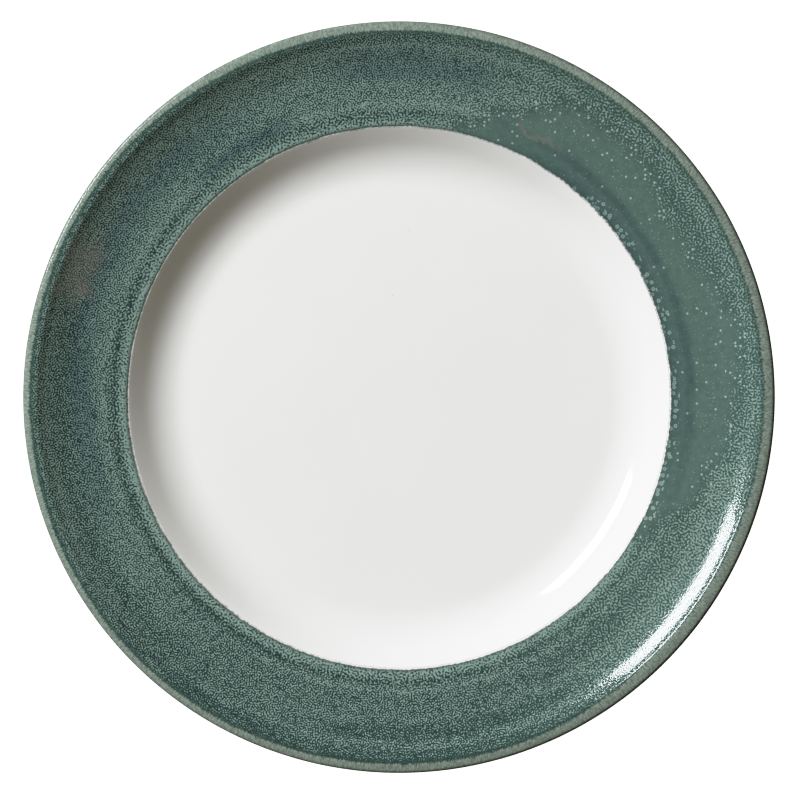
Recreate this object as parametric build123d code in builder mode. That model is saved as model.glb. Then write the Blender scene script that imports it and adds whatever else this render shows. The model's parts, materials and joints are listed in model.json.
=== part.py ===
# China dinner plate: a flat well, a broad rim that turns up near its edge, and a rounded lip.
#
# The plate is one turned clay body with four glaze coats on it. All five pieces come from one
# section, drawn in (radius, height) and turned about the vertical axis Z. The glazed section is the
# outside of the finished plate; the body is that section less the thickness of the glaze, and
# each coat is the stretch of the skin between them that it covers. Only the ground foot is bare clay.
#
# Millimetres, +Z up. The origin is in the middle of the plate, on the surface it stands on.

import os
from math import cos, radians, tan

from build123d import *

# Driving dimensions
PLATE_RADIUS = 135.0        # outside of the rounded lip
THICKNESS = 4.8             # of the glazed wall, square to its surface
GLAZE = 0.3                 # thickness of each glaze coat
RECESS_HEIGHT = 2.2         # of the hollow inside the foot ring, above the table

# Top of the plate: the radii at which its straight stretches meet, and their slopes
WELL_TURN_RADIUS = 85.4     # floor of the well to its wall
BROW_RADIUS = 97.6          # wall of the well to the rim, where white glaze meets green
FLANK_RADIUS = 122.3        # rim to the steep flank under the edge
LIP_RADIUS = 130.2          # flank to the narrow lip that runs round the edge
CREST_RADIUS = 132.2        # highest line of the lip
WELL_SLOPE = 39.0
RIM_SLOPE = 9.5
FLANK_SLOPE = 33.0
LIP_RISE = 2.0              # inside the crest
LIP_FALL = -9.0             # outside it

# Curves that join the straight stretches
WELL_CURVE = 24.2
BROW_CURVE = 3.0
BROW_CURVE_BELOW = 8.0
FLANK_CURVE = 40.0
LIP_CURVE = 2.5
CREST_CURVE = 10.0
EDGE_CURVE = 1.5
EDGE_CURVE_BELOW = 1.4

# Foot ring
FOOT_OUTER_RADIUS = 74.0    # at the table
FOOT_INNER_RADIUS = 70.4
FOOT_DRAFT = 0.6            # how far each side of the ring leans out over its height
FOOT_EDGE_CURVE = 0.8
FOOT_ROOT_CURVE = 1.0
BARE_FOOT_HEIGHT = 1.2      # where the glaze was wiped off above the table

# Where one glaze coat stops and the next begins
WELL_GLAZE_RADIUS = BROW_RADIUS  # white to green on top
UNDER_RIM_GLAZE_RADIUS = 132.3   # green to white on the underside

AXIS_OVERLAP = 5.0          # the section crosses the axis, so that the glaze is even there too
MARGIN = 5.0                # clearance of a cutting outline around what it cuts


def climb(start, radius, slope):
    """The point at a radius on the line that leaves start at a slope in degrees."""
    return (radius, start[1] + (radius - start[0]) * tan(radians(slope)))


def below(corner, slope_in, slope_out):
    """The corner of the underside that keeps the wall at its thickness under a corner of the top."""
    slant_in = 1 / cos(radians(slope_in))
    slant_out = 1 / cos(radians(slope_out))
    shift = THICKNESS * (slant_out - slant_in) / (tan(radians(slope_out)) - tan(radians(slope_in)))
    return (corner[0] + shift, corner[1] + shift * tan(radians(slope_in)) - THICKNESS * slant_in)


def within(point):
    """The point inside the wall, half its thickness under a point of the top."""
    return (point[0], point[1] - THICKNESS / 2)


def inset(outline, depth):
    """A clockwise outline of corners and curves with its sides and curves moved in by a depth."""
    moved = []
    for index, (corner, curve) in enumerate(outline):
        before = outline[index - 1][0]
        after = outline[(index + 1) % len(outline)][0]
        side_in = (Vector(*corner) - Vector(*before)).normalized()
        side_out = (Vector(*after) - Vector(*corner)).normalized()
        inward_in = side_in.cross(Vector(0, 0, 1))
        inward_out = side_out.cross(Vector(0, 0, 1))
        shift = (inward_in + inward_out) * (depth / (1 + inward_in.dot(inward_out)))
        hollow = side_in.cross(side_out).Z > 0
        if curve > 0:
            curve = curve + depth if hollow else curve - depth
        moved.append(((corner[0] + shift.X, corner[1] + shift.Y), curve))
    return moved


# Corners of the top, from the middle outwards
floor_height = RECESS_HEIGHT + THICKNESS
well_turn = (WELL_TURN_RADIUS, floor_height)
brow = climb(well_turn, BROW_RADIUS, WELL_SLOPE)
flank_foot = climb(brow, FLANK_RADIUS, RIM_SLOPE)
lip = climb(flank_foot, LIP_RADIUS, FLANK_SLOPE)
crest = climb(lip, CREST_RADIUS, LIP_RISE)
edge_top = climb(crest, PLATE_RADIUS, LIP_FALL)

# Corners of the underside, under those of the top
well_turn_below = below(well_turn, 0, WELL_SLOPE)
brow_below = below(brow, WELL_SLOPE, RIM_SLOPE)
flank_foot_below = below(flank_foot, RIM_SLOPE, FLANK_SLOPE)
edge_bottom = climb(flank_foot_below, PLATE_RADIUS, FLANK_SLOPE)

# Each corner of the glazed section with the radius of its curve, from the middle of the well
# round the edge to the middle of the foot recess
section_outline = [
    ((-AXIS_OVERLAP, floor_height), 0),
    (well_turn, WELL_CURVE),
    (brow, BROW_CURVE),
    (flank_foot, FLANK_CURVE),
    (lip, LIP_CURVE),
    (crest, CREST_CURVE),
    (edge_top, EDGE_CURVE),
    (edge_bottom, EDGE_CURVE_BELOW),
    (flank_foot_below, FLANK_CURVE + THICKNESS),
    (brow_below, BROW_CURVE_BELOW),
    (well_turn_below, WELL_CURVE + THICKNESS),
    ((FOOT_OUTER_RADIUS + FOOT_DRAFT, RECESS_HEIGHT), FOOT_ROOT_CURVE),
    ((FOOT_OUTER_RADIUS, 0), FOOT_EDGE_CURVE),
    ((FOOT_INNER_RADIUS, 0), FOOT_EDGE_CURVE),
    ((FOOT_INNER_RADIUS - FOOT_DRAFT, RECESS_HEIGHT), FOOT_ROOT_CURVE),
    ((-AXIS_OVERLAP, RECESS_HEIGHT), 0),
]

# Outside of the finished plate
with BuildSketch() as glazed_section:
    with BuildLine():
        corners, curves = zip(*section_outline)
        FilletPolyline(*corners, radius=curves, close=True)
    make_face()

# Bottom of the foot ring, wiped clean of glaze so that it did not stick to the kiln shelf
with BuildSketch() as bare_foot_section:
    add(glazed_section.sketch)
    with Locations((0, BARE_FOOT_HEIGHT)):
        Rectangle(2 * PLATE_RADIUS, 2 * MARGIN, align=(Align.CENTER, Align.MAX), mode=Mode.INTERSECT)

# Fired clay inside the glaze
with BuildSketch() as clay_section:
    with BuildLine():
        corners, curves = zip(*inset(section_outline, GLAZE))
        FilletPolyline(*corners, radius=curves, close=True)
    make_face()
    add(bare_foot_section.sketch)
    with Locations((0, -MARGIN)):
        Rectangle(PLATE_RADIUS + MARGIN, PLATE_RADIUS, align=Align.MIN, mode=Mode.INTERSECT)

# Skin of glaze round the clay
with BuildSketch() as glaze_section:
    add(glazed_section.sketch)
    add(clay_section.sketch, mode=Mode.SUBTRACT)
    with Locations((0, -MARGIN)):
        Rectangle(PLATE_RADIUS + MARGIN, PLATE_RADIUS, align=Align.MIN, mode=Mode.INTERSECT)

# Points inside the clay at which the outlines that part the coats meet
middle_of_floor = within((0, floor_height))
middle_of_foot = within(((FOOT_INNER_RADIUS + FOOT_OUTER_RADIUS) / 2, floor_height))
middle_of_well_turn = within(well_turn)
middle_of_brow = within(brow)
middle_of_flank_foot = within(flank_foot)
middle_of_flank = within(climb(flank_foot, UNDER_RIM_GLAZE_RADIUS, FLANK_SLOPE))
above = PLATE_RADIUS
beneath = -MARGIN
outside = PLATE_RADIUS + MARGIN

os.makedirs("parts", exist_ok=True)

# ---- China body: the turned and fired clay, with its foot ring and the lip round its edge ----
with BuildPart() as china_body:
    with BuildSketch(Plane.XZ):
        add(clay_section.sketch)
    revolve(axis=Axis.Z)
china_body.part.label = "china_body"

# ---- White glaze over the floor and wall of the well, up to the brow ----
with BuildPart() as well_glaze:
    with BuildSketch(Plane.XZ):
        with BuildLine():
            Polyline(
                middle_of_floor,
                middle_of_well_turn,
                middle_of_brow,
                (WELL_GLAZE_RADIUS, above),
                (0, above),
                close=True,
            )
        make_face()
        add(glaze_section.sketch, mode=Mode.INTERSECT)
    revolve(axis=Axis.Z)
well_glaze.part.label = "well_glaze"

# ---- Green reactive glaze over the rim and its lip, ending just inside the edge beneath ----
with BuildPart() as rim_glaze:
    with BuildSketch(Plane.XZ):
        with BuildLine():
            Polyline(
                middle_of_brow,
                middle_of_flank_foot,
                middle_of_flank,
                (UNDER_RIM_GLAZE_RADIUS, beneath),
                (outside, beneath),
                (outside, above),
                (WELL_GLAZE_RADIUS, above),
                close=True,
            )
        make_face()
        add(glaze_section.sketch, mode=Mode.INTERSECT)
    revolve(axis=Axis.Z)
rim_glaze.part.label = "rim_glaze"

# ---- White glaze on the back, from the green edge to the outside of the foot ring ----
with BuildPart() as underside_glaze:
    with BuildSketch(Plane.XZ):
        with BuildLine():
            Polyline(
                middle_of_foot,
                middle_of_well_turn,
                middle_of_brow,
                middle_of_flank_foot,
                middle_of_flank,
                (UNDER_RIM_GLAZE_RADIUS, beneath),
                (middle_of_foot[0], beneath),
                close=True,
            )
        make_face()
        add(glaze_section.sketch, mode=Mode.INTERSECT)
    revolve(axis=Axis.Z)
underside_glaze.part.label = "underside_glaze"

# ---- White glaze in the hollow inside the foot ring ----
with BuildPart() as foot_recess_glaze:
    with BuildSketch(Plane.XZ):
        with BuildLine():
            Polyline(
                middle_of_floor,
                middle_of_foot,
                (middle_of_foot[0], beneath),
                (0, beneath),
                close=True,
            )
        make_face()
        add(glaze_section.sketch, mode=Mode.INTERSECT)
    revolve(axis=Axis.Z)
foot_recess_glaze.part.label = "foot_recess_glaze"

for piece in (china_body, well_glaze, rim_glaze, underside_glaze, foot_recess_glaze):
    export_step(piece.part, f"parts/{piece.part.label}.step")
    print(f"{piece.part.label}: {piece.part.volume / 1000:.2f} cm3")
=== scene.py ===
# %% [markdown]
# # A china dinner plate with a reactive glaze on its rim
#
# The real plate is one turned piece of clay under four coats of glass: white glaze in the well,
# green reactive glaze over the rim and its lip, white glaze on the back, and white glaze in the
# hollow inside the foot ring. Only the ground foot is bare.
#
# The frame holds the five pieces as plain solids. They could keep those meshes and only get better
# materials, but the glazes need fine, even skins that carry zones of colour, so each is replaced
# here by a mesh of the same section.

# %% Load the frame
import json
import math

import bmesh
import bpy
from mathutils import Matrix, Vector, noise

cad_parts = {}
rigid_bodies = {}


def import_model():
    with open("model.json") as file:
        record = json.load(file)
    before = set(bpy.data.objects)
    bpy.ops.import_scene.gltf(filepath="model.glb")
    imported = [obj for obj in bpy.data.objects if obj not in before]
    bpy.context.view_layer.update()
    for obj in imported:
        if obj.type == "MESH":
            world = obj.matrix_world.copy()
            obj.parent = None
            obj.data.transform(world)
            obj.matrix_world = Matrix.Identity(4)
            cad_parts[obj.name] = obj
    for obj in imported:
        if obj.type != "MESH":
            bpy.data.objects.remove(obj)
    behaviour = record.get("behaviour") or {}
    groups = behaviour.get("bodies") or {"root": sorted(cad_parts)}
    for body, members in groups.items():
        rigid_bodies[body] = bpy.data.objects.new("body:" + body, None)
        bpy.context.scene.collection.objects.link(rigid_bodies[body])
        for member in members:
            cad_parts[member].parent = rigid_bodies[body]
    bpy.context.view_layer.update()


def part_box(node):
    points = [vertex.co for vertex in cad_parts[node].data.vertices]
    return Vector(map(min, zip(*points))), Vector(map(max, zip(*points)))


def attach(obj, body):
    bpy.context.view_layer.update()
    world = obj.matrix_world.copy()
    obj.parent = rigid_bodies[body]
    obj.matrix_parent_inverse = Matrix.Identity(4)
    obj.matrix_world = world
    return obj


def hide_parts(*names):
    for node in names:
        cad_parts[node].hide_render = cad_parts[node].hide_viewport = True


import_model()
MM = 0.001

# %% [markdown]
# ## The section
#
# A potter shapes a plate against a template that has the outline of half the plate, while the
# clay turns. The same is done here: an outline in the XZ plane, with a corner wherever two
# straight stretches meet and the radius of the curve that rounds it, is turned about Z.
#
# A curve could instead be rounded by a Bevel or a Subdivision Surface modifier, but those only
# come near an arc. The reflections in a glaze show every flat, so each curve is a true arc.

# %% Levels of the plate, from the frame
plate_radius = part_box("rim_glaze")[1].x
glaze = plate_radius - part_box("china_body")[1].x
floor_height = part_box("well_glaze")[0].z + glaze
bare_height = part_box("foot_recess_glaze")[0].z
recess_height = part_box("foot_recess_glaze")[1].z - glaze
rim_seam_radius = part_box("well_glaze")[1].x
under_seam_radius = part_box("underside_glaze")[1].x
thickness = floor_height - recess_height
print(f"plate radius {plate_radius / MM:.1f} mm, wall {thickness / MM:.1f} mm, glaze {glaze / MM:.2f} mm")

# %% Slopes and corners
WELL_SLOPE = 39.0
RIM_SLOPE = 9.5
FLANK_SLOPE = 33.0
LIP_RISE = 2.0
LIP_FALL = -9.0
WELL_TURN_RADIUS = 85.4 * MM
FLANK_RADIUS = 122.3 * MM
LIP_RADIUS = 130.2 * MM
CREST_RADIUS = 132.2 * MM
WELL_CURVE = 24.2 * MM
BROW_CURVE_BELOW = 8.0 * MM
FLANK_CURVE = 40.0 * MM
LIP_CURVE = 2.5 * MM
CREST_CURVE = 10.0 * MM
EDGE_CURVE = 1.5 * MM
EDGE_CURVE_BELOW = 1.4 * MM


def climb(start, radius, slope):
    """The point at a radius on the line that leaves start at a slope in degrees."""
    return Vector((radius, 0, start.z + (radius - start.x) * math.tan(math.radians(slope))))


def below(corner, slope_in, slope_out):
    """The corner of the underside that keeps the wall at its thickness under a corner of the top."""
    slant_in = 1 / math.cos(math.radians(slope_in))
    slant_out = 1 / math.cos(math.radians(slope_out))
    rise_in = math.tan(math.radians(slope_in))
    rise_out = math.tan(math.radians(slope_out))
    shift = thickness * (slant_out - slant_in) / (rise_out - rise_in)
    return corner + Vector((shift, 0, shift * rise_in - thickness * slant_in))


well_turn = Vector((WELL_TURN_RADIUS, 0, floor_height))
brow = climb(well_turn, rim_seam_radius, WELL_SLOPE)
flank_foot = climb(brow, FLANK_RADIUS, RIM_SLOPE)
lip = climb(flank_foot, LIP_RADIUS, FLANK_SLOPE)
crest = climb(lip, CREST_RADIUS, LIP_RISE)
well_turn_below = below(well_turn, 0, WELL_SLOPE)
brow_below = below(brow, WELL_SLOPE, RIM_SLOPE)
flank_foot_below = below(flank_foot, RIM_SLOPE, FLANK_SLOPE)
print(f"brow at {brow.z / MM:.1f} mm, crest of the lip at {crest.z / MM:.1f} mm")

# %% [markdown]
# White glaze meets green half way round the curve of the brow. A curve is always drawn whole, so
# this one is cut into two curves of the same radius, with the seam where they touch.

# %% The brow cut in two at the seam
BROW_CURVE = 3.0 * MM
half_turn = math.radians(WELL_SLOPE - RIM_SLOPE) / 2
half_tangent = BROW_CURVE * math.tan(half_turn / 2)
slide = BROW_CURVE * math.tan(half_turn) - half_tangent
brow_inner = climb(brow, brow.x - slide * math.cos(math.radians(WELL_SLOPE)), WELL_SLOPE)
brow_outer = climb(brow, brow.x + slide * math.cos(math.radians(RIM_SLOPE)), RIM_SLOPE)
rim_seam = (brow_inner + brow_outer) / 2
print(f"seam at radius {rim_seam.x / MM:.2f} mm, height {rim_seam.z / MM:.2f} mm")

# %% Every corner of the glazed plate
FOOT_OUTER_RADIUS = 74.0 * MM
FOOT_INNER_RADIUS = 70.4 * MM
FOOT_DRAFT = 0.6 * MM   # how far each side of the ring leans out over its height
FOOT_EDGE_CURVE = 0.8 * MM
FOOT_ROOT_CURVE = 1.0 * MM
lean = FOOT_DRAFT * bare_height / recess_height

# Each corner with the radius of its curve, from the middle of the well round the edge to the middle
# of the foot recess. A seam is where one coat of glaze meets the next.
outline = {
    "floor_middle": (Vector((0, 0, floor_height)), 0),
    "well_turn": (well_turn, WELL_CURVE),
    "brow_inner": (brow_inner, BROW_CURVE),
    "rim_seam": (rim_seam, 0),
    "brow_outer": (brow_outer, BROW_CURVE),
    "flank_foot": (flank_foot, FLANK_CURVE),
    "lip": (lip, LIP_CURVE),
    "crest": (crest, CREST_CURVE),
    "edge_top": (climb(crest, plate_radius, LIP_FALL), EDGE_CURVE),
    "edge_bottom": (climb(flank_foot_below, plate_radius, FLANK_SLOPE), EDGE_CURVE_BELOW),
    "under_seam": (climb(flank_foot_below, under_seam_radius, FLANK_SLOPE), 0),
    "flank_foot_below": (flank_foot_below, FLANK_CURVE + thickness),
    "brow_below": (brow_below, BROW_CURVE_BELOW),
    "well_turn_below": (well_turn_below, WELL_CURVE + thickness),
    "foot_root": (Vector((FOOT_OUTER_RADIUS + FOOT_DRAFT, 0, recess_height)), FOOT_ROOT_CURVE),
    "outer_foot_seam": (Vector((FOOT_OUTER_RADIUS + lean, 0, bare_height)), 0),
    "foot_outer": (Vector((FOOT_OUTER_RADIUS, 0, 0)), FOOT_EDGE_CURVE),
    "foot_inner": (Vector((FOOT_INNER_RADIUS, 0, 0)), FOOT_EDGE_CURVE),
    "inner_foot_seam": (Vector((FOOT_INNER_RADIUS - lean, 0, bare_height)), 0),
    "recess_root": (Vector((FOOT_INNER_RADIUS - FOOT_DRAFT, 0, recess_height)), FOOT_ROOT_CURVE),
    "recess_middle": (Vector((0, 0, recess_height)), 0),
}
print(len(outline), "corners")

# %% Stretches of the outline
ACROSS = Vector((0, 1, 0))


def stretch(first, last):
    """The corners and curves of the outline from one named corner to another."""
    names = list(outline)
    return [outline[name] for name in names[names.index(first):names.index(last) + 1]]


def under_the_glaze(corners):
    """The same stretch on the clay, a glaze's thickness inside it."""
    sides = [(b[0] - a[0]).normalized() for a, b in zip(corners, corners[1:])]
    inner = []
    for (corner, curve), before, after in zip(corners, sides[:1] + sides, sides + sides[-1:]):
        inward_before, inward_after = ACROSS.cross(before), ACROSS.cross(after)
        shift = (inward_before + inward_after) * (glaze / (1 + inward_before.dot(inward_after)))
        hollow = before.cross(after).y < -1e-6
        inner.append((corner + shift, curve and curve + (glaze if hollow else -glaze)))
    return inner


print("rim coat:", len(stretch("rim_seam", "under_seam")), "corners")

# %% Drawing an outline
STEEPEST_TURN = math.radians(9)


def draw(mesh, corners, longest):
    """Draws corners and curves as a chain of edges no longer than longest, and returns its two ends."""
    pen = start = mesh.verts.new(corners[0][0])
    for index, (corner, curve) in enumerate(corners[1:], 1):
        heading = (corner - corners[index - 1][0]).normalized()
        turn = 0
        if curve:
            heading_out = (corners[index + 1][0] - corner).normalized()
            turn = math.atan2(heading.cross(heading_out).y, heading.dot(heading_out))
        run = corner - heading * curve * math.tan(abs(turn) / 2) - pen.co
        steps = math.ceil(run.length / longest - 0.01)
        for step in range(steps):
            pen = bmesh.ops.extrude_vert_indiv(mesh, verts=[pen])["verts"][0]
            pen.co += run / steps
        if curve:
            steps = math.ceil(max(curve * abs(turn) / longest, abs(turn) / STEEPEST_TURN))
            centre = pen.co + ACROSS.cross(heading) * math.copysign(curve, turn)
            arc = bmesh.ops.spin(mesh, geom=[pen], cent=centre, axis=ACROSS, angle=turn, steps=steps)
            pen = next(part for part in arc["geom_last"] if isinstance(part, bmesh.types.BMVert))
    return start, pen


# %% [markdown]
# ## Turning a piece
#
# A coat of glaze is drawn as a closed ring in section, the skin that shows and the face that lies
# on the clay, and is spun about Z. Solidify could give a spun skin its thickness, but it would
# make the hidden face as fine as the skin that shows, and double the size of the mesh.
#
# The rim is turned in 720 steps. One spin of that many is slow, because the operator looks through
# the whole mesh at each step. Spinning one narrow sector and then repeating it round the axis makes
# the same mesh much sooner.

# %% Spinning a section into a closed shell
SECTORS = 30
HIDDEN_SPACING = 4 * MM # between the points of a face that lies on the clay
Z_AXIS = {"cent": (0, 0, 0), "axis": (0, 0, 1)}


def turn(mesh, steps):
    """Spins the section through one sector, repeats the sector round Z and closes the shell."""
    section = mesh.verts[:] + mesh.edges[:]
    sector = math.tau / SECTORS
    bmesh.ops.spin(mesh, geom=section, angle=sector, steps=steps // SECTORS, **Z_AXIS)
    wedge = mesh.verts[:] + mesh.edges[:] + mesh.faces[:]
    rest = math.tau - sector
    bmesh.ops.spin(mesh, geom=wedge, angle=rest, steps=SECTORS - 1, use_duplicate=True, **Z_AXIS)
    bmesh.ops.remove_doubles(mesh, verts=mesh.verts, dist=0.001 * MM)
    bmesh.ops.recalc_face_normals(mesh, faces=mesh.faces)


def coat(first, last, longest, steps):
    """A coat of glaze between two corners of the outline. Its layer named skin is 1 where it shows."""
    mesh = bmesh.new()
    skin = mesh.verts.layers.float.new("skin")
    ends = draw(mesh, stretch(first, last), longest)
    for vert in mesh.verts:
        vert[skin] = 1
    backs = draw(mesh, under_the_glaze(stretch(first, last)), HIDDEN_SPACING)
    for end, back in zip(ends, backs):
        if end.co.x > MM:
            mesh.edges.new((end, back))
    turn(mesh, steps)
    print(f"{first} to {last}: {len(mesh.faces)} faces")
    return mesh


print(f"a turn is {SECTORS} sectors of {360 / SECTORS:.0f} degrees")

# %% [markdown]
# ## What the kiln does to a smooth plate
#
# Glaze is a thick liquid at the top of the firing. It is never quite as even as the turned clay
# under it, and the outline of a reflection wanders a little because of that. A Displace modifier
# could do this, but it moves points both ways, and a coat may only sink into its own thickness.

# %% A slow ripple in the glaze
RIPPLE_DEPTH = 0.05 * MM
RIPPLE_LENGTH = 17 * MM


def ripple(mesh):
    """Sinks the skin of a coat by up to the depth of a ripple, along its normals."""
    skin = mesh.verts.layers.float["skin"]
    mesh.normal_update()
    sinks = []
    for vert in mesh.verts:
        if vert[skin] == 1:
            swell = 0.5 + 0.5 * noise.noise(vert.co / RIPPLE_LENGTH)
            sinks.append((vert, vert.normal * RIPPLE_DEPTH * swell))
    for vert, sink in sinks:
        vert.co -= sink
    print(f"{len(sinks)} points of skin, sunk up to {max(sink.length for _, sink in sinks) / MM:.3f} mm")
    return mesh


print(f"ripples about {RIPPLE_LENGTH / MM:.0f} mm long")

# %% [markdown]
# ## Where the green glaze changes
#
# A reactive glaze separates as it melts: pale crystals grow out of a dark green glass. How much of
# the surface they cover depends on how thick the glaze lies and how fast that spot cooled, so the
# rim has zones: worms of crystal over most of it, a calm pool with only a few dots along one side,
# a pale band beside the well, dark and bluish streaks where the brush went round, a warm blush
# where the glaze is thin, and a pale lip from which it ran away.
#
# The zones could be painted, or made by noise alone. Here each is a few bearings and distances,
# listed in degrees clockwise from +Y and in millimetres, smoothed and roughened by
# noise. Each point of the skin keeps how much of each zone it has, and the material reads that.

# %% Places round the rim
def ease(value, low, high):
    """0 below low and 1 above high, with a smooth step between."""
    share = min(max((value - low) / (high - low), 0), 1)
    return share * share * (3 - 2 * share)


def around(stops, bearing):
    """The value at a bearing, eased between stops that are (bearing, value) in order."""
    before = [stop for stop in stops if stop[0] <= bearing] or [(stops[-1][0] - 360, stops[-1][1])]
    after = [stop for stop in stops if stop[0] > bearing] or [(stops[0][0] + 360, stops[0][1])]
    (start, low), (end, high) = before[-1], after[0]
    return low + (high - low) * ease(bearing, start, end)


def patch(bearing, reach, centre, size):
    """How far inside a soft patch a place is: 1 in its middle, 0 past its bearings and reach."""
    off = (bearing - centre[0] + 180) % 360 - 180
    return ease(1 - abs(off) / size[0], 0, 0.6) * ease(1 - abs(reach - centre[1]) / size[1], 0, 0.7)


def streak(direction, reach, width, length, seed):
    """Noise from -1 to 1 in streaks that run round the rim."""
    round_the_rim = Vector((direction.x, direction.y, 0)) * (plate_radius / length)
    return noise.noise(round_the_rim + Vector((0, 0, reach / width + seed)))


print("half way up a step:", ease(0.5, 0, 1))

# %% The zones
# Inner edge of the pale lip, as a distance from the axis. It dips inwards on the lower right.
LIP_LINE = [(0, 131.5), (90, 131.0), (130, 130.0), (165, 131.5), (240, 132.5), (310, 132.5), (335, 131.5)]
# Outer edge of the calm pool, as a distance from the seam
CALM_EDGE = [(6, -14), (14, 0), (22, 10), (32, 21), (46, 20), (56, 15), (64, 16), (80, 23), (98, 18),
             (108, 12), (119, 0), (127, -14)]
# Width of the band of pale crystal beside the well
PALE_BAND = [(0, 0.8), (30, 0.0), (112, 0.0), (130, 3.2), (180, 3.6), (215, 3.8), (250, 3.0), (330, 2.2)]
BLUE_PATCHES = [((300, 116), (42, 7)), ((3, 119), (20, 8)), ((66, 100), (58, 9)), ((262, 113), (20, 6)),
                ((328, 106), (14, 4))]
# Places where crystals are fewer, each with how much it takes off the cover
THIN_PATCHES = [((128, 108), (34, 10), 0.08), ((172, 121), (30, 5), 0.12), ((62, 122), (46, 9), 0.14),
                ((185, 110), (60, 24), 0.08), ((190, 128.5), (55, 4), 0.16), ((255, 121), (55, 7), 0.09),
                ((250, 104), (60, 3.5), 0.09)]
WARM_PATCHES = [((292, 124), (7, 8.5)), ((28, 106.6), (7, 1.8))]
RING_STOPS = [(36, 0), (48, 0.8), (110, 0.85), (124, 0)]
MILD_BEARING = 82       # middle of the side where the glass is lighter and the crystals fine
POOL_MARGIN = 8         # mm over which the crystals close up outside the calm pool
SLOW_WANDER = 9 * MM    # size of the slow noise that bends the outlines of the zones
FAST_WANDER = 2.6 * MM  # size of the fast noise that roughens them
ZONE_NAMES = ("cover", "pool", "mild", "coarse", "blue", "warm", "rings", "lip")


def zones(vert):
    """How much of each zone a point of the rim's skin has."""
    place = vert.co
    direction = Vector((place.x, place.y, 0)).normalized()
    bearing = math.degrees(math.atan2(place.x, place.y)) % 360
    reach = math.hypot(place.x, place.y) / MM
    if vert.normal.z < 0:
        reach = 2 * plate_radius / MM - reach
    from_seam = reach - rim_seam.x / MM
    slow = noise.noise(place / SLOW_WANDER)
    fast = noise.noise(place / FAST_WANDER)
    broad = streak(direction, reach, 4.0, 55, 7)
    narrow = streak(direction, reach, 1.5, 30, 3)
    beyond_line = reach - around(LIP_LINE, bearing) - 0.25 * slow
    into_pool = around(CALM_EDGE, bearing) + 2.0 * slow + 1.5 * fast - from_seam
    pool = ease(into_pool, -POOL_MARGIN, 1.5)
    mild = ease(abs((bearing - MILD_BEARING + 180) % 360 - 180), 95, 40)
    band = ease(around(PALE_BAND, bearing) + 0.8 * fast - from_seam, -2.0, 1.2)
    thin = sum(loss * patch(bearing, reach + 2.0 * slow, *where) for *where, loss in THIN_PATCHES)
    under_lip = ease(-beyond_line, 5.0, 0.8)
    crowd = 0.46 + 0.12 * broad + 0.07 * narrow + 0.18 * band - 0.06 * under_lip - thin
    blue = sum(patch(bearing, reach + 1.5 * slow, *where) for where in BLUE_PATCHES)
    warm = sum(patch(bearing + 4 * fast, reach + 3.0 * slow + 2.0 * fast, *where) for where in WARM_PATCHES)
    return {
        "cover": crowd * (1 - pool),
        "pool": pool,
        "mild": max(mild, pool),
        "coarse": max(0.8 * ease(from_seam, 11, 2) * (1 - 0.7 * mild), 0.7 * mild),
        "blue": min(max(blue * (0.5 + 0.6 * broad + 0.2 * narrow), 0), 1),
        "warm": min(warm * (0.75 + 0.5 * fast), 1),
        "rings": around(RING_STOPS, bearing) * ease(from_seam, 4.0, 2.4),
        "lip": beyond_line,
    }


def mark_zones(mesh):
    """Stores the zones on the skin of the rim."""
    skin = mesh.verts.layers.float["skin"]
    layers = {name: mesh.verts.layers.float.new(name) for name in ZONE_NAMES}
    for vert in mesh.verts:
        if vert[skin] == 1:
            for name, amount in zones(vert).items():
                vert[layers[name]] = amount
    return mesh


print("zones:", ", ".join(ZONE_NAMES))

# %% Turning a mesh into a piece of the plate
def piece(mesh, name, node, material):
    """Makes the mesh an object that rides with the plate and stands for one of its nodes."""
    data = bpy.data.meshes.new(name)
    mesh.to_mesh(data)
    mesh.free()
    data.shade_smooth()
    data.materials.append(material)
    made = bpy.data.objects.new(name, data)
    bpy.context.collection.objects.link(made)
    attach(made, "root")
    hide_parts(node)
    print(f"{name} stands for {node}")


# %% [markdown]
# ## Colours and nodes
#
# A colour is written as the sRGB hex value that a colour picker gives and turned to the linear
# value that a shader needs. Every node is added by one function, as settings and links in a line.

# %% Helpers for materials
def colour(hex_value):
    """A linear RGBA colour from an sRGB hex value."""
    channels = [int(hex_value[i:i + 2], 16) / 255 for i in (1, 3, 5)]
    return [c / 12.92 if c <= 0.04045 else ((c + 0.055) / 1.055) ** 2.4 for c in channels] + [1]


def new_material(name):
    """A material with its node tree and the Principled BSDF in it."""
    material = bpy.data.materials.new(name)
    material.use_nodes = True
    return material, material.node_tree, material.node_tree.nodes["Principled BSDF"]


def add(tree, kind, inputs, **settings):
    """Adds a node with its settings. Each input is a value, or the output of another node."""
    node = tree.nodes.new("ShaderNode" + kind)
    for name, value in settings.items():
        setattr(node, name, value)
    for socket, value in inputs.items():
        if isinstance(value, bpy.types.Node):
            value = next(output for output in value.outputs if output.enabled)
        if isinstance(value, bpy.types.NodeSocket):
            tree.links.new(value, node.inputs[socket])
        else:
            node.inputs[socket].default_value = value
    return node


def in_millimetres(tree):
    """Object coordinates in millimetres, so that a texture's scale is 1 over a size in millimetres."""
    place = add(tree, "TexCoord", {})
    return add(tree, "VectorMath", {0: place.outputs["Object"], "Scale": 1 / MM}, operation="SCALE")


print("china white:", [round(channel, 3) for channel in colour("#F1F1EF")])

# %% [markdown]
# ## White glaze
#
# A clear glaze made white with a little tin or zircon, fired to a thick glass over the clay. The eye
# sees a clean, nearly neutral white, a mirror-like gloss with a slow waviness, and, close to, a few
# pinholes where gas came out.
#
# Glass has an IOR near 1.5, and a fired glaze is almost smooth, so the roughness is low. Flat
# white with a low roughness could pass from a distance, but it would look like plastic up close, so
# the tone drifts a little, and the waviness and the pinholes go through a Bump node.

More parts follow.
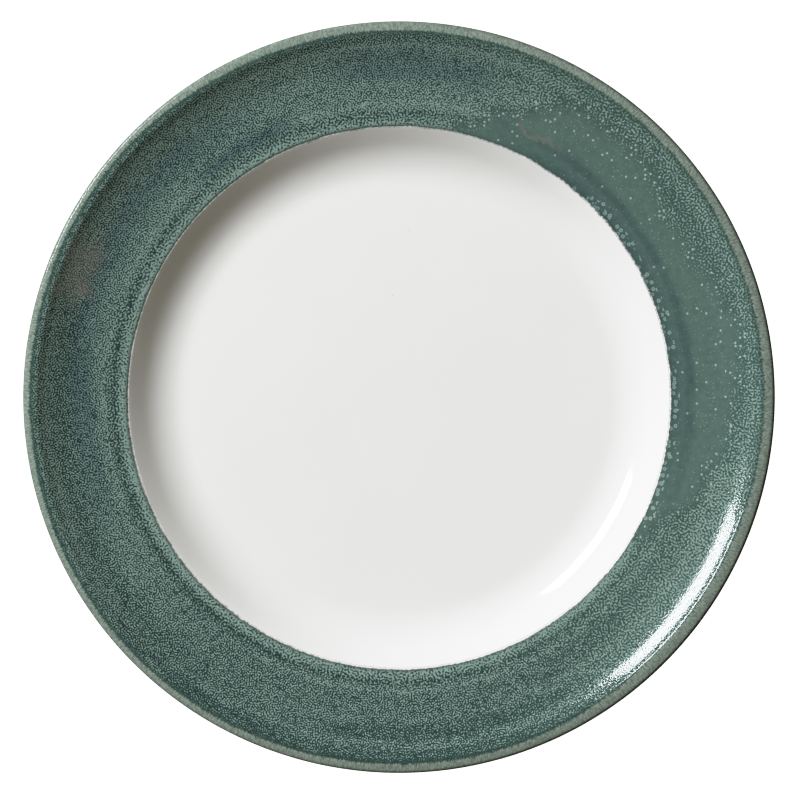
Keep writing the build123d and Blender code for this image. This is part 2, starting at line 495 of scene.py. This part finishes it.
# %% White glaze
DRIFT_SIZE = 40         # mm across one drift of tone
WAVE_SIZE = 9           # mm from one wave of the surface to the next
EDGE_CENTRE = (0.08, -0.24, 0)   # mm; the green was brushed round a hair off centre
EDGE_RADIUS = rim_seam.x / MM + 0.22
EDGE_TOOTH = 1.1        # mm, size of the teeth of the green's edge
EDGE_WANDER = 7.0       # mm, size of its slow wander
STAIN_START = -0.6      # mm from that edge at which the white begins to look green
STAIN_END = 0.1         # mm, where it is wholly stained
PINHOLE_SPACING = 16    # mm
PINHOLE_RADIUS = 0.28   # mm, twice a real one, which would be too fine to show
GLAZE_RELIEF = 0.02     # mm, height of the waves and depth of the pinholes
GLAZE_IOR = 1.5


def past_the_edge(tree, place):
    """How many millimetres outside the ragged edge of the green glaze a point of the plate's top is."""
    flat = add(tree, "VectorMath", {0: place, 1: (1, 1, 0)}, operation="MULTIPLY")
    moved = add(tree, "VectorMath", {0: flat, 1: EDGE_CENTRE}, operation="SUBTRACT")
    radius = add(tree, "VectorMath", {0: moved}, operation="LENGTH")
    teeth = add(tree, "TexNoise", {"Vector": flat, "Scale": 1 / EDGE_TOOTH, "Detail": 1.0})
    wander = add(tree, "TexNoise", {"Vector": flat, "Scale": 1 / EDGE_WANDER, "Detail": 0.0})
    beyond = add(tree, "Math", {0: radius.outputs["Value"], 1: EDGE_RADIUS - 0.65}, operation="SUBTRACT")
    frayed = add(tree, "Math", {0: teeth, 1: -0.8, 2: beyond}, operation="MULTIPLY_ADD")
    return add(tree, "Math", {0: wander, 1: -0.5, 2: frayed}, operation="MULTIPLY_ADD")


def white_china_glaze(name, beside_the_green):
    """Clear tin-white glaze, poured over and fired. In the well its brim is stained by the green."""
    material, tree, shader = new_material(name)
    place = in_millimetres(tree)
    drift = add(tree, "TexNoise", {"Vector": place, "Scale": 1 / DRIFT_SIZE, "Detail": 2.0})
    tone = add(tree, "Mix", {"Factor": drift, 6: colour("#F0F0ED"), 7: colour("#F4F4F2")},
               data_type="RGBA")
    holes = add(tree, "TexVoronoi", {"Vector": place, "Scale": 1 / PINHOLE_SPACING})
    pinhole = add(tree, "MapRange", {"Value": holes, "From Min": PINHOLE_RADIUS / PINHOLE_SPACING,
                                     "From Max": 0.4 * PINHOLE_RADIUS / PINHOLE_SPACING})
    specked = add(tree, "Mix", {"Factor": pinhole, 6: tone.outputs[2], 7: colour("#CFC9BE")},
                  data_type="RGBA")
    if beside_the_green:
        stain = add(tree, "MapRange", {"Value": past_the_edge(tree, place), "From Min": STAIN_START,
                                       "From Max": STAIN_END})
        specked = add(tree, "Mix", {"Factor": stain, 6: specked.outputs[2], 7: colour("#5E7068")},
                      data_type="RGBA")
    waves = add(tree, "TexNoise", {"Vector": place, "Scale": 1 / WAVE_SIZE, "Detail": 1.0})
    height = add(tree, "Math", {0: waves, 1: pinhole}, operation="SUBTRACT")
    bump = add(tree, "Bump", {"Height": height, "Distance": GLAZE_RELIEF * MM, "Strength": 1.0})
    tree.links.new(specked.outputs[2], shader.inputs["Base Color"])
    tree.links.new(bump.outputs["Normal"], shader.inputs["Normal"])
    shader.inputs["Roughness"].default_value = 0.09
    shader.inputs["IOR"].default_value = GLAZE_IOR
    return material


print("pinholes every", PINHOLE_SPACING, "mm")

# %% [markdown]
# ## Green reactive glaze
#
# A dark copper and iron green glass with pale crystals of zinc and titanium grown in it. The eye
# sees worms and dots of sage about a millimetre apart on deep green. They are a shade duller than
# the glass round them and stand a hair proud of it, which breaks up the edge of a reflection.
#
# The worms could be thresholded Perlin noise, but that has gaps and clumps of every size. Gabor
# noise has one spacing, as crystals that compete for the same melt do, so it is used here, in a
# fine and a coarse size. Lone dots and rings come from Voronoi cells, one crystal to a cell.

# %% Patterns in the green glaze
FINE_SPACING = 0.86     # mm from one crystal to the next over most of the rim
COARSE_SPACING = 1.15   # mm, near the well where the glaze lies thickest
DOT_SPACING = 1.7       # mm between the places where a lone dot may grow
DOT_RADIUS = 0.42       # mm
RING_SPACING = 2.1      # mm between rings beside the well
RING_RADIUS = 0.72      # mm
RING_HOLE = 0.28        # mm, radius of the gap inside a ring
WAVES_PER_CELL = 2.0    # how far a row of crystals keeps its course, in spacings
WAVE_GAIN = 0.5         # how far the cover moves the level at which a crystal starts
WAVE_SOFTNESS = 0.09    # how soft the outline of a crystal is
CRYSTAL_GRAIN = 0.6     # mm, unevenness that breaks the worms up
GRAIN_GAIN = 0.5        # how far that unevenness moves the level


def crystals(tree, place, zone):
    """Pale crystals, 1 where one lies: worms where the cover is high, dots as it falls."""
    fine = add(tree, "TexGabor", {"Vector": place, "Scale": 1 / (FINE_SPACING * WAVES_PER_CELL),
               "Frequency": WAVES_PER_CELL, "Anisotropy": 0.0}, gabor_type="2D")
    coarse = add(tree, "TexGabor", {"Vector": place, "Scale": 1 / (COARSE_SPACING * WAVES_PER_CELL),
                 "Frequency": WAVES_PER_CELL, "Anisotropy": 0.0}, gabor_type="2D")
    wave = add(tree, "Mix", {"Factor": zone["coarse"], 2: fine.outputs["Value"],
                             3: coarse.outputs["Value"]})
    grain = add(tree, "TexNoise", {"Vector": place, "Scale": 1 / CRYSTAL_GRAIN, "Detail": 0.0})
    frayed = add(tree, "Math", {0: grain, 1: GRAIN_GAIN, 2: wave}, operation="MULTIPLY_ADD")
    level = add(tree, "Math", {0: zone["cover"], 1: WAVE_GAIN, 2: frayed}, operation="MULTIPLY_ADD")
    top = 0.5 + 0.5 * WAVE_GAIN + 0.5 * GRAIN_GAIN
    return add(tree, "MapRange", {"Value": level, "From Min": top - WAVE_SOFTNESS,
                                  "From Max": top + WAVE_SOFTNESS})


def lone_dots(tree, place, chance, spacing, size, hole):
    """Dots, or rings where hole is above 0, in the share of the cells that chance gives."""
    flat = add(tree, "VectorMath", {0: place, 1: (1, 1, 0)}, operation="MULTIPLY")
    cells = add(tree, "TexVoronoi", {"Vector": flat, "Scale": 1 / spacing, "Randomness": 0.8},
                voronoi_dimensions="2D")
    disc = add(tree, "MapRange", {"Value": cells.outputs["Distance"], "From Min": (size + 0.08) / spacing,
                                  "From Max": (size - 0.12) / spacing})
    middle = add(tree, "MapRange", {"Value": cells.outputs["Distance"], "From Min": (hole + 0.1) / spacing,
                                    "From Max": (hole - 0.1) / spacing, "To Max": 0.7})
    ring = add(tree, "Math", {0: disc, 1: middle}, operation="SUBTRACT") if hole else disc
    lot = add(tree, "SeparateColor", {"Color": cells.outputs["Color"]})
    drawn = add(tree, "Math", {0: lot.outputs["Red"], 1: chance}, operation="LESS_THAN")
    return add(tree, "Math", {0: ring, 1: drawn}, operation="MULTIPLY")


print("crystals every", FINE_SPACING, "to", COARSE_SPACING, "mm")

# %% The lip and the edge beside the well
LIP_BLOTCH = 0.55       # mm across, round the edge
LIP_BLOTCH_LENGTH = 1.1 # mm, across the lip
# The outermost edge darkens, partly from glaze pooled under it and partly as painted shade.
SHADE_START = 1.5       # mm inside the outermost radius at which the lip begins to darken
SHADE_END = 0.4         # mm inside it at which the lip is darkest


def on_the_lip(tree, place, zone, rim):
    """The glaze ran off the lip and left it pale, with a dark line where it piled up below. The outermost
    edge is darker too, partly pooled glaze and partly painted shade.
    """
    flat = add(tree, "VectorMath", {0: place, 1: (1, 1, 0)}, operation="MULTIPLY")
    direction = add(tree, "VectorMath", {0: flat}, operation="NORMALIZE")
    beyond = zone["lip"]
    height = add(tree, "Math", {0: beyond, 1: 1 / LIP_BLOTCH_LENGTH}, operation="MULTIPLY")
    along = add(tree, "VectorMath", {0: direction, "Scale": plate_radius / MM / LIP_BLOTCH},
                operation="SCALE")
    lift = add(tree, "CombineXYZ", {"Z": height})
    route = add(tree, "VectorMath", {0: along, 1: lift}, operation="ADD")
    blotch = add(tree, "TexNoise", {"Vector": route, "Scale": 1.0, "Detail": 1.0})
    comb = add(tree, "Math", {0: blotch, 1: 1.6, 2: beyond}, operation="MULTIPLY_ADD")
    pale = add(tree, "MapRange", {"Value": comb, "From Min": 0.7, "From Max": 1.3})
    mottle = add(tree, "MapRange", {"Value": blotch, "From Min": 0.3, "From Max": 0.7})
    lip = add(tree, "Mix", {"Factor": mottle, 6: colour("#67776C"), 7: colour("#96A397")},
              data_type="RGBA")
    depth = add(tree, "MapRange", {"Value": zone["mild"], "To Min": 0.8, "To Max": 0.6})
    line = add(tree, "MapRange", {"Value": comb, "From Min": -1.5, "From Max": 0.45, "To Max": depth},
               interpolation_type="SMOOTHSTEP")
    dark = add(tree, "Mix", {"Factor": line, 6: rim, 7: colour("#344B44")}, data_type="RGBA")
    both = add(tree, "Mix", {"Factor": pale, 6: dark.outputs[2], 7: lip.outputs[2]},
               data_type="RGBA")
    reach = add(tree, "VectorMath", {0: flat}, operation="LENGTH")
    # Painted shade, with some real pooled glaze: the outermost edge is darkened towards #3D4640, most on
    # the side that faces away from the key light and least where the key lights it.
    amount = add(tree, "MapRange", {"Value": zone["mild"], "To Min": 0.1, "To Max": 0.65})
    pooled_glaze_and_painted_shade_at_edge = add(tree, "MapRange", {"Value": reach.outputs["Value"],
                                   "From Min": plate_radius / MM - SHADE_START,
                                   "From Max": plate_radius / MM - SHADE_END, "To Max": amount})
    lip_with_painted_edge_shade = add(tree, "Mix", {"Factor": pooled_glaze_and_painted_shade_at_edge, 6: both.outputs[2], 7: colour("#3D4640")},
                 data_type="RGBA")
    return lip_with_painted_edge_shade.outputs[2]


def at_the_well(tree, place, zone, rim):
    """The green stops at a ragged edge, with a dark line where it thickens and white beyond it."""
    ragged = past_the_edge(tree, place)
    depth = add(tree, "MapRange", {"Value": zone["mild"], "To Min": 0.75, "To Max": 0.35})
    line = add(tree, "MapRange", {"Value": ragged, "From Min": 1.3, "From Max": 0.3, "To Max": depth})
    dark = add(tree, "Mix", {"Factor": line, 6: rim, 7: colour("#45544E")}, data_type="RGBA")
    white = add(tree, "MapRange", {"Value": ragged, "From Min": 0.1, "From Max": -0.1})
    bordered = add(tree, "Mix", {"Factor": white, 6: dark.outputs[2], 7: colour("#E9E6E1")},
                   data_type="RGBA")
    return bordered.outputs[2]


print("blotches of the lip", LIP_BLOTCH, "mm wide")

# %% Green reactive glaze
CLOUD_SIZE = 2.5        # mm across one cloud of fine bubbles in the calm pool
WARM_STRENGTH = 0.45
CRYSTAL_RELIEF = 0.012  # mm that a crystal stands above the glass


def green_reactive_glaze():
    """Dark green glass with pale crystals, poured on the rim and let run off the lip."""
    material, tree, shader = new_material("green_reactive_glaze")
    place = in_millimetres(tree)
    zone = {name: add(tree, "Attribute", {}, attribute_name=name).outputs["Fac"] for name in ZONE_NAMES}
    pool, mild = zone["pool"], zone["mild"]

    worms = crystals(tree, place, zone)
    dot_chance = add(tree, "MapRange", {"Value": pool, "From Min": 1.0, "From Max": 0.3,
                                        "To Min": 0.05, "To Max": 0.7})
    dot_chance = add(tree, "Math", {0: dot_chance, 1: pool}, operation="MULTIPLY")
    dots = lone_dots(tree, place, dot_chance, DOT_SPACING, DOT_RADIUS, 0)
    rings = lone_dots(tree, place, zone["rings"], RING_SPACING, RING_RADIUS, RING_HOLE)
    dotted = add(tree, "Math", {0: dots, 1: rings}, operation="MAXIMUM")
    pale = add(tree, "Math", {0: worms, 1: dotted}, operation="MAXIMUM")

    deep = add(tree, "Mix", {"Factor": mild, 6: colour("#2B403D"), 7: colour("#3E5650")},
               data_type="RGBA")
    cloud = add(tree, "TexNoise", {"Vector": place, "Scale": 1 / CLOUD_SIZE, "Detail": 3.0,
                                   "Roughness": 0.7})
    clear = add(tree, "Mix", {"Factor": cloud, 6: colour("#485F59"), 7: colour("#647D74")},
                data_type="RGBA")
    glass = add(tree, "Mix", {"Factor": pool, 6: deep.outputs[2], 7: clear.outputs[2]},
                data_type="RGBA")
    crystal = add(tree, "Mix", {"Factor": mild, 6: colour("#8CA69C"), 7: colour("#8AA399")},
                  data_type="RGBA")
    bright = add(tree, "Mix", {"Factor": dotted, 6: crystal.outputs[2], 7: colour("#9FB7AD")},
                 data_type="RGBA")
    rim = add(tree, "Mix", {"Factor": pale, 6: glass.outputs[2], 7: bright.outputs[2]},
              data_type="RGBA")

    blue = add(tree, "Mix", {"Factor": zone["blue"], 6: rim.outputs[2], 7: colour("#A3AFC0")},
               data_type="RGBA", blend_type="MULTIPLY")
    warm_amount = add(tree, "Math", {0: zone["warm"], 1: WARM_STRENGTH}, operation="MULTIPLY")
    warm = add(tree, "Mix", {"Factor": warm_amount, 6: blue.outputs[2], 7: colour("#8A8076")},
               data_type="RGBA")

    skin = on_the_lip(tree, place, zone, warm.outputs[2])
    edge = at_the_well(tree, place, zone, skin)
    tree.links.new(edge, shader.inputs["Base Color"])

    rough = add(tree, "MapRange", {"Value": pale, "To Min": 0.05, "To Max": 0.10})
    bump = add(tree, "Bump", {"Height": pale, "Distance": CRYSTAL_RELIEF * MM, "Strength": 1.0})
    tree.links.new(rough.outputs[0], shader.inputs["Roughness"])
    tree.links.new(bump.outputs["Normal"], shader.inputs["Normal"])
    shader.inputs["IOR"].default_value = GLAZE_IOR
    shader.inputs["Specular IOR Level"].default_value = 0.27
    return material


print("a crystal stands", CRYSTAL_RELIEF, "mm proud")

# %% [markdown]
# ## Bare china
#
# Where the plate stands, its glaze was wiped off before the firing, and the foot was rubbed on a
# stone after it. The eye sees a matt, warm off-white ring with fine grinding marks that run round
# it, and a few dark specks of iron.

# %% Bare china
GRIND_WIDTH = 0.35      # mm between grinding marks, three times the real grit so that they show
GRIND_DEPTH = 0.02      # mm
CLAY_GRAIN = 0.6        # mm
SPECK_SPACING = 3.0     # mm


def bare_fired_china():
    """Fired clay, ground flat on a stone."""
    material, tree, shader = new_material("ground_bare_china")
    place = in_millimetres(tree)
    flat = add(tree, "VectorMath", {0: place, 1: (1, 1, 0)}, operation="MULTIPLY")
    radius = add(tree, "VectorMath", {0: flat}, operation="LENGTH")
    rings = add(tree, "TexNoise", {"W": radius.outputs["Value"], "Scale": 1 / GRIND_WIDTH, "Detail": 2.0},
                noise_dimensions="1D")
    grain = add(tree, "TexNoise", {"Vector": place, "Scale": 1 / CLAY_GRAIN, "Detail": 3.0})
    marks = add(tree, "Math", {0: rings, 1: grain}, operation="ADD")
    tone = add(tree, "MapRange", {"Value": marks, "From Min": 0.7, "From Max": 1.3})
    clay = add(tree, "Mix", {"Factor": tone, 6: colour("#C9BDA9"), 7: colour("#E0D7C8")},
               data_type="RGBA")
    cells = add(tree, "TexVoronoi", {"Vector": place, "Scale": 1 / SPECK_SPACING})
    speck = add(tree, "MapRange", {"Value": cells, "From Min": 0.09, "From Max": 0.05, "To Max": 0.7})
    specked = add(tree, "Mix", {"Factor": speck, 6: clay.outputs[2], 7: colour("#6E5A48")},
                  data_type="RGBA")
    bump = add(tree, "Bump", {"Height": marks, "Distance": GRIND_DEPTH * MM, "Strength": 1.0})
    tree.links.new(specked.outputs[2], shader.inputs["Base Color"])
    tree.links.new(bump.outputs["Normal"], shader.inputs["Normal"])
    shader.inputs["Roughness"].default_value = 0.75
    return material


print("grinding marks every", GRIND_WIDTH, "mm")

# %% [markdown]
# ## The five pieces
#
# The rim gets the finest mesh, because its zones are stored on its points. The body only shows at
# the foot, so its points are close together there and far apart under the glaze.

# %% The four coats of glaze
PLAIN_SPACING = 1.6 * MM
PLAIN_STEPS = 480
RIM_SPACING = 0.6 * MM
RIM_STEPS = 720
white = white_china_glaze("glossy_white_china_glaze", False)
white_in_the_well = white_china_glaze("glossy_white_china_glaze_stained_at_its_brim", True)
COATS = [
    ("white_well_glaze", "well_glaze", "floor_middle", "rim_seam", white_in_the_well),
    ("white_back_glaze", "underside_glaze", "under_seam", "outer_foot_seam", white),
    ("white_recess_glaze", "foot_recess_glaze", "inner_foot_seam", "recess_middle", white),
]
for name, node, first, last, finish in COATS:
    piece(ripple(coat(first, last, PLAIN_SPACING, PLAIN_STEPS)), name, node, finish)

rim_mesh = mark_zones(ripple(coat("rim_seam", "under_seam", RIM_SPACING, RIM_STEPS)))
piece(rim_mesh, "green_rim_glaze", "rim_glaze", green_reactive_glaze())


# %% The body
BODY_SPACING = 2 * MM
FOOT_SPACING = 0.3 * MM


def turned_body():
    """The fired clay: the section a glaze's thickness inside the plate, and the bare foot."""
    mesh = bmesh.new()
    top = draw(mesh, under_the_glaze(stretch("floor_middle", "outer_foot_seam")), BODY_SPACING)
    foot = draw(mesh, stretch("outer_foot_seam", "inner_foot_seam"), FOOT_SPACING)
    hollow = draw(mesh, under_the_glaze(stretch("inner_foot_seam", "recess_middle")), BODY_SPACING)
    mesh.edges.new((top[1], foot[0]))
    mesh.edges.new((foot[1], hollow[0]))
    turn(mesh, PLAIN_STEPS)
    print(f"body: {len(mesh.faces)} faces")
    return mesh


piece(turned_body(), "china_plate_body", "china_body", bare_fired_china())

# %% [markdown]
# ## The studio
#
# A product photographer lights a plate with one softbox low at the side, so that the wall of the
# well goes from shade to light and both curves carry one crisp reflection of the box. The rest of
# the room only gives a weak, warm fill. The floor is lit until it is plain white. It isn't allowed
# to light or mirror in the plate, because a real white sweep lies far outside its edge. A small
# light straight below shines through the floor and stands for what the sweep throws back, so that
# the underside doesn't go black.

# %% Floor
FLOOR_SIZE = 3.0        # m from the middle of the floor to its sides
FLOOR_GLOW = 1.7
floor_mesh = bmesh.new()
bmesh.ops.create_grid(floor_mesh, x_segments=1, y_segments=1, size=FLOOR_SIZE)
floor_data = bpy.data.meshes.new("studio_floor")
floor_mesh.to_mesh(floor_data)
floor_mesh.free()
studio_floor = bpy.data.objects.new("studio_floor", floor_data)
bpy.context.collection.objects.link(studio_floor)
material, tree, shader = new_material("lit_white_paper")
shader.inputs["Base Color"].default_value = colour("#7D7D7D")
shader.inputs["Roughness"].default_value = 0.9
shader.inputs["Emission Color"].default_value = colour("#FFFFFF")
shader.inputs["Emission Strength"].default_value = FLOOR_GLOW
see_through = add(tree, "BsdfTransparent", {})
side = add(tree, "NewGeometry", {})
from_below = add(tree, "MixShader", {0: side.outputs["Backfacing"], 1: shader, 2: see_through})
tree.links.new(from_below.outputs[0], tree.nodes["Material Output"].inputs["Surface"])
floor_data.materials.append(material)
studio_floor.visible_glossy = False
studio_floor.visible_diffuse = False
studio_floor.visible_shadow = False
print("floor", 2 * FLOOR_SIZE, "m wide")


# %% Lights
def towards(bearing, zenith):
    """The direction at a bearing clockwise from +Y and an angle from straight up, in degrees."""
    turned, leant = math.radians(bearing), math.radians(zenith)
    return Vector((math.sin(turned) * math.sin(leant), math.cos(turned) * math.sin(leant), math.cos(leant)))


def softbox(name, direction, distance, width, height, power, tint):
    """A rectangular light that faces the plate."""
    data = bpy.data.lights.new(name, "AREA")
    data.shape = "RECTANGLE"
    data.size = width
    data.size_y = height
    data.energy = power
    data.color = tint
    lamp = bpy.data.objects.new(name, data)
    lamp.location = direction * distance
    lamp.rotation_euler = (-lamp.location).to_track_quat("-Z", "Y").to_euler()
    bpy.context.collection.objects.link(lamp)
    print(f"{name}: {power} W at {distance} m")


softbox("key_softbox", towards(bearing=305.5, zenith=52.2), distance=2.9, width=1.36, height=0.6,
        power=130.0, tint=(0.94, 0.955, 1.0))
softbox("bounce_from_below", Vector((0, 0, -1)), distance=2.5, width=0.5, height=0.5,
        power=30.0, tint=(1.0, 0.99, 0.97))

ROOM_TINT = (1.0, 0.86, 0.45, 1)
ROOM_STRENGTH = 0.085
world = bpy.data.worlds.new("studio")
bpy.context.scene.world = world
world.use_nodes = True
room = world.node_tree.nodes["Background"]
room.inputs["Color"].default_value = ROOM_TINT
room.inputs["Strength"].default_value = ROOM_STRENGTH

# %% [markdown]
# The camera hangs over the middle of the plate and looks straight down through a long lens, so
# the rim shows no perspective.

# %% Camera
CAMERA_HEIGHT = 2.4
CAMERA_OFFSET = (0.36 * MM, -1.04 * MM)
EDGE_IN_FRAME = 0.941    # of the width of the frame, from edge to edge of the plate
lens = bpy.data.cameras.new("camera")
lens.lens = lens.sensor_width * EDGE_IN_FRAME * (CAMERA_HEIGHT - crest.z) / (2 * plate_radius)
camera = bpy.data.objects.new("camera", lens)
camera.location = (*CAMERA_OFFSET, CAMERA_HEIGHT)
bpy.context.collection.objects.link(camera)
bpy.context.scene.camera = camera
print(f"camera {CAMERA_HEIGHT} m above the table, {lens.lens:.0f} mm lens")

# %% [markdown]
# A camera does not cut off at white. It squeezes the brightest tones together, so that the lit wall
# of the well keeps its shape and the reflection in it still shows. The stops below leave every
# tone up to that of the well's floor as it is, and squeeze the ones above it.

# %% Tone of the picture
BRIGHTEST = 1.6         # light that comes out as pure white
TONES = [(0.35, 0.35), (0.70, 0.70), (0.80, 0.79), (1.0, 0.885), (1.3, 0.955)]
picture = bpy.context.scene.view_settings
picture.view_transform = "Standard"
picture.use_curve_mapping = True
picture.curve_mapping.white_level = (BRIGHTEST, BRIGHTEST, BRIGHTEST)
tone_curve = picture.curve_mapping.curves[3]
for light, shown in TONES:
    tone_curve.points.new(light / BRIGHTEST, shown)
picture.curve_mapping.update()
print(len(tone_curve.points), "stops of tone")
